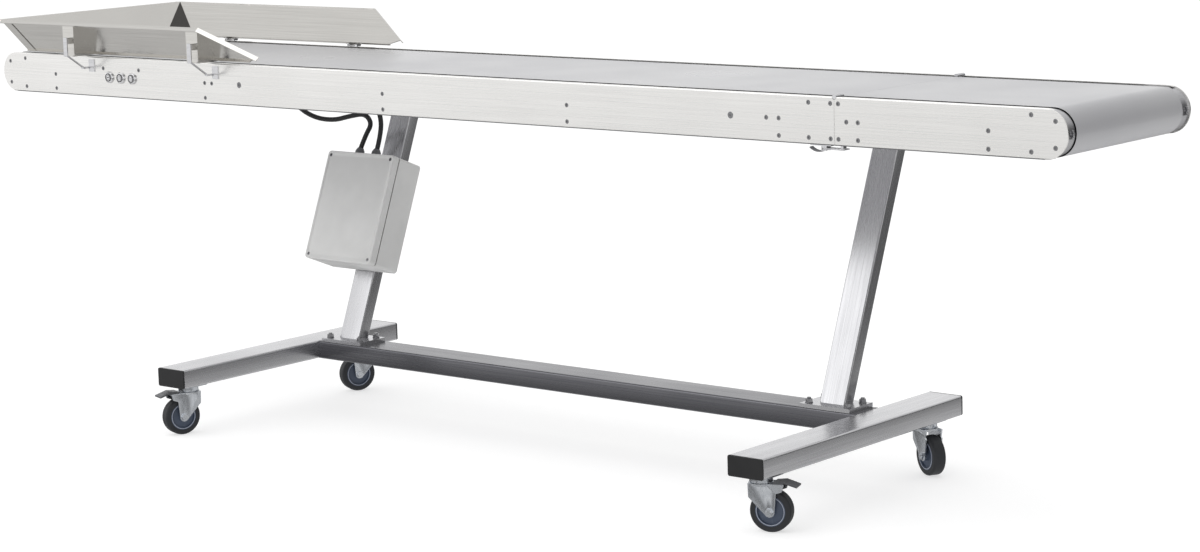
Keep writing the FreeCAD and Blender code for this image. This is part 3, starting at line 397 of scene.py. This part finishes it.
# flat faces that run round an opening stay in triangles
keptTriangles = ("hopper", "control_box_base", "control_box_lid")
for corner in ("front_left", "front_right", "rear_left", "rear_right"):
    easedBy["castor_fork_" + corner] = 0.7
    easedBy["castor_hub_" + corner] = 0.6
for corner in ("front_left", "front_right"):
    easedBy["brake_pedal_" + corner] = 0.7
for node, ease in easedBy.items():
    easeEdges(node, ease)
print("eased pieces done:", len(easedBy))


# ---- painted shade on the cut edges of the belt, drawn a hair outside its sides ----
cutEdge = {"sideways": 0.9, "proud": 0.1}


def makeCutEdge(node):
    mesh = nodes[node].data.copy()
    work = bmesh.new()
    work.from_mesh(mesh)
    flat = [face for face in work.faces if abs(face.normal.y) < cutEdge["sideways"]]
    bmesh.ops.delete(work, geom=flat, context="FACES")
    for vert in work.verts:
        vert.co.y += math.copysign(cutEdge["proud"] / 1000, sum(face.normal.y for face in vert.link_faces))
    work.to_mesh(mesh)
    work.free()
    addPiece(node + "_cut_edge", mesh, bodyOf[node], "wearStripBlackAndPaintedGapShade")


for node in ("belt_main", "belt_tail"):
    makeCutEdge(node)
print("cut edges done")


# ---- painted dark reflection on the folded-in rear corner of the hopper ----
# the face there looks right, forward and up, and lies this many metres behind the middle
cornerFace = {"level": 0.3, "up": 0.1, "behind": 0.1, "proud": 0.14}


def isCorner(face):
    turned = face.normal.x > cornerFace["level"] and face.normal.y < -cornerFace["level"]
    return turned and face.normal.z > cornerFace["up"] and face.calc_center_median().y > cornerFace["behind"]


def makeCorner():
    mesh = nodes["hopper"].data.copy()
    work = bmesh.new()
    work.from_mesh(mesh)
    bmesh.ops.delete(work, geom=[face for face in work.faces if not isCorner(face)], context="FACES")
    for vert in work.verts:
        vert.co += Vector((cornerFace["proud"], -cornerFace["proud"], 0)) / 1000
    work.to_mesh(mesh)
    work.free()
    addPiece("hopper_corner_painted_reflection", mesh, "hopper", "paintedReflectionHopperCorner")


makeCorner()
print("hopper corner done")


# ---- painted shade along the lower lip of the front plates ----
lip = {"height": 1.6, "depth": 1, "proud": 0.15, "roundEnd": 46, "jointGap": 1}


def makeLip(node, leftInset, rightInset):
    low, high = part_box(node)
    work = bmesh.new()
    bmesh.ops.create_cube(work, size=1)
    for vert in work.verts:
        x = high.x - rightInset / 1000 if vert.co.x > 0 else low.x + leftInset / 1000
        y = low.y + (lip["depth"] if vert.co.y > 0 else -lip["proud"]) / 1000
        z = low.z + (lip["height"] if vert.co.z > 0 else 0) / 1000
        vert.co = Vector((x, y, z))
    mesh = bpy.data.meshes.new(node + "_lip_painted_shade")
    work.to_mesh(mesh)
    work.free()
    addPiece(node + "_lip_painted_shade", mesh, bodyOf[node], "paintedShadeSteelLip")


makeLip("side_plate_front", lip["roundEnd"], lip["jointGap"])
makeLip("tail_plate_front", lip["jointGap"], lip["roundEnd"])
print("plate lips done")


# ---- castor details: a pale ring on each side of the wheel centre ----
castors = {
    "front_left": (-775, -285, 251), "front_right": (775, -285, 20),
    "rear_left": (-775, 262, 245), "rear_right": (775, 262, 332),
}
wheel = {"trail": 20, "radius": 40, "halfWidth": 13, "ringRadius": 26.6, "ringThick": 0.7, "ringProud": 0.1,
         "turns": 64}


def ringMesh(name, radius, thick, turns, sides=10):
    work = bmesh.new()
    rows = []
    for i in range(turns):
        a = 2 * math.pi * i / turns
        rows.append([work.verts.new(((radius + thick * math.cos(b)) * math.cos(a), thick * math.sin(b),
                                     (radius + thick * math.cos(b)) * math.sin(a)))
                     for b in (2 * math.pi * j / sides for j in range(sides))])
    for i, row in enumerate(rows):
        after = rows[(i + 1) % turns]
        for j in range(sides):
            k = (j + 1) % sides
            work.faces.new((row[j], row[k], after[k], after[j]))
    bmesh.ops.recalc_face_normals(work, faces=work.faces)
    mesh = bpy.data.meshes.new(name)
    work.to_mesh(mesh)
    work.free()
    for polygon in mesh.polygons:
        polygon.use_smooth = True
    return mesh


def wheelPlace(x, y, heading):
    # the wheel's own frame: its axle along Y, its centre at the origin, in millimetres
    h = math.radians(heading)
    centre = place(x + wheel["trail"] * math.cos(h), y + wheel["trail"] * math.sin(h), wheel["radius"])
    return Matrix.Translation(centre) @ Matrix.Rotation(h, 4, "Z") @ Matrix.Scale(0.001, 4)


for corner, (x, y, heading) in castors.items():
    spot = wheelPlace(x, y, heading)
    for side, sideName in ((-1, "inner"), (1, "outer")):
        name = f"wheel_ring_{corner}_{sideName}"
        mesh = ringMesh(name, wheel["ringRadius"], wheel["ringThick"], wheel["turns"])
        mesh.transform(spot @ Matrix.Translation((0, side * (wheel["halfWidth"] + wheel["ringProud"]), 0)))
        addPiece(mesh.name, mesh, "wheel_" + corner, "paleWheelRing")
print("castor details done")


# ---- push button marks ----
buttons = {
    "edgeRadius": 7.7, "edgeThick": 1.0, "ringRadius": 4.6, "ringThick": 0.4, "turns": 48,
    "markRound": 0.15, "markProud": 0.2,
    "marks": {"stop": (2.8, 1.0), "one": (0.7, 2.4), "two": (2.2, 0.7)},
}


def markMesh(name, halfWidth, halfHeight):
    # a bar with rounded edges: wide for stop, upright for one and level for two
    work = bmesh.new()
    bmesh.ops.create_cube(work, size=2)
    for vert in work.verts:
        vert.co = Vector((vert.co.x * halfWidth, vert.co.y * buttons["markProud"], vert.co.z * halfHeight))
    bmesh.ops.bevel(work, geom=list(work.edges), offset=buttons["markRound"], segments=2, affect="EDGES")
    mesh = bpy.data.meshes.new(name)
    work.to_mesh(mesh)
    work.free()
    return mesh


for name, halves in buttons["marks"].items():
    capLow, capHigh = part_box("button_" + name)
    middle = Vector(((capLow.x + capHigh.x) / 2, capLow.y, (capLow.z + capHigh.z) / 2))
    spot = Matrix.Translation(middle) @ Matrix.Scale(0.001, 4)
    for part in ("edge", "ring"):
        radius, thick = buttons[part + "Radius"], buttons[part + "Thick"]
        ring = ringMesh(f"button_{part}_{name}", radius, thick, buttons["turns"])
        ring.transform(spot)
        addPiece(ring.name, ring, "button_" + name, "engravedInk")
    mark = markMesh(f"button_mark_{name}", *halves)
    mark.transform(spot)
    addPiece(mark.name, mark, "button_" + name, "engravedInk")
print("button marks done")


# ---- floor, light and sky ----
studio = {
    "floorSize": 60,
    "floorColour": "C4C4C4",
    "floorGlow": 0.6,
    "overhead": {"place": (0.2, -0.6, 3.6), "aim": (0, 0, 0.7), "size": (4.2, 2.2), "power": 30},
    "frontLeft": {"place": (-3.2, -4.2, 2.6), "aim": (0, 0, 0.6), "size": (2.4, 2.4), "power": 15},
}


def makeFloor(plan):
    mesh = bpy.data.meshes.new("floor")
    half = plan["floorSize"] / 2
    corners = [(-half, -half, 0), (half, -half, 0), (half, half, 0), (-half, half, 0)]
    mesh.from_pydata(corners, [], [(0, 1, 2, 3)])
    floor = bpy.data.objects.new("floor", mesh)
    look = {"colour": plan["floorColour"], "roughness": 0.9}
    material, tree, shader, where = startMaterial("paintedStudioFloor", look)
    shader.inputs["Specular IOR Level"].default_value = 0.0
    # a floor lit from under itself keeps only the shadows close to the wheels
    shader.inputs["Emission Color"].default_value = colour("FFFFFF")
    shader.inputs["Emission Strength"].default_value = plan["floorGlow"]
    mesh.materials.append(material)
    scene.collection.objects.link(floor)
    floor.visible_glossy = False


def makeLight(name, plan):
    data = bpy.data.lights.new(name, "AREA")
    data.shape = "RECTANGLE"
    data.size, data.size_y = plan["size"]
    data.energy = plan["power"]
    light = bpy.data.objects.new(name, data)
    light.location = plan["place"]
    light.rotation_euler = (Vector(plan["aim"]) - Vector(plan["place"])).to_track_quat("-Z", "Y").to_euler()
    scene.collection.objects.link(light)


# each step has the height or alignment where it starts and ends, then the brightness before and after it
room = {
    "floorAhead": (-0.215, -0.165, 0.22, 1.3),
    "floorNear": (-0.6, -0.4, 0.62, 0.0),
    "ceiling": (0.15, 0.6, 1.0, 0.88),
    "ceilingGap": (0.86, 0.95, 1.0, 0.08),
    "floorBehind": (-0.21, -0.18, 0.85, 0.16),
    "wallTop": (0.1, 0.5, 0.0, 0.8),
    "turnBehind": (0.55, 0.85, 0.0, 1.0),
    "leftToRight": (-0.3, 0.9, 1.4, 0.3),
    "gapWay": (0.58, -0.45, 0.68),
    "behindWay": (0.6, 0.8, 0),
    "plainWhite": 1.14,
}


def step(tree, value, name, interpolation="SMOOTHSTEP"):
    start, end, before, after = room[name]
    node = addNode(tree, "ShaderNodeMapRange", {"interpolation_type": interpolation},
                   {"Value": value, "From Min": start, "From Max": end, "To Min": before, "To Max": after})
    return node.outputs[0]


def joined(tree, operation, first, second):
    return addNode(tree, "ShaderNodeMath", {"operation": operation}, {0: first, 1: second}).outputs[0]


def chosen(tree, factor, first, second):
    return addNode(tree, "ShaderNodeMix", {"data_type": "FLOAT"}, {0: factor, 2: first, 3: second}).outputs[0]


def alignment(tree, way, aim):
    node = addNode(tree, "ShaderNodeVectorMath", {"operation": "DOT_PRODUCT"}, {0: way, 1: aim})
    return node.outputs["Value"]


def makeSky():
    # a white room that is dark low down and behind on the right, as the metal sees it
    world = bpy.data.worlds.new("whiteRoom")
    scene.world = world
    world.use_nodes = True
    tree = world.node_tree
    tree.nodes.clear()
    way = addNode(tree, "ShaderNodeTexCoord").outputs["Generated"]
    parts = addNode(tree, "ShaderNodeSeparateXYZ", None, {0: way})
    toRight, height = parts.outputs[0], parts.outputs[2]
    # ahead, a floor that is dark far off and lighter close by, and a ceiling with a dark gap on the right
    lower = joined(tree, "ADD", step(tree, height, "floorAhead"), step(tree, height, "floorNear"))
    whole = joined(tree, "MULTIPLY", lower, step(tree, height, "ceiling"))
    gap = step(tree, alignment(tree, way, room["gapWay"]), "ceilingGap")
    ahead = joined(tree, "MULTIPLY", whole, gap)
    # behind on the right, a bright floor below a dark wall
    behind = joined(tree, "ADD", step(tree, height, "floorBehind"), step(tree, height, "wallTop"))
    turned = step(tree, alignment(tree, way, room["behindWay"]), "turnBehind")
    mirrored = addNode(tree, "ShaderNodeBackground", None, {"Strength": chosen(tree, turned, ahead, behind)})
    # dull surfaces are lit mostly from the left; the camera sees plain white
    ray = addNode(tree, "ShaderNodeLightPath")
    sideways = step(tree, toRight, "leftToRight", "LINEAR")
    seen = chosen(tree, ray.outputs["Is Camera Ray"], sideways, room["plainWhite"])
    soft = addNode(tree, "ShaderNodeBackground", None, {"Strength": seen})
    mix = addNode(tree, "ShaderNodeMixShader", None,
                  {0: ray.outputs["Is Glossy Ray"], 1: soft.outputs[0], 2: mirrored.outputs[0]})
    out = addNode(tree, "ShaderNodeOutputWorld")
    tree.links.new(mix.outputs[0], out.inputs[0])
    scene.view_settings.view_transform = "Standard"


makeFloor(studio)
makeLight("overhead", studio["overhead"])
makeLight("frontLeft", studio["frontLeft"])
makeSky()
print("studio done")
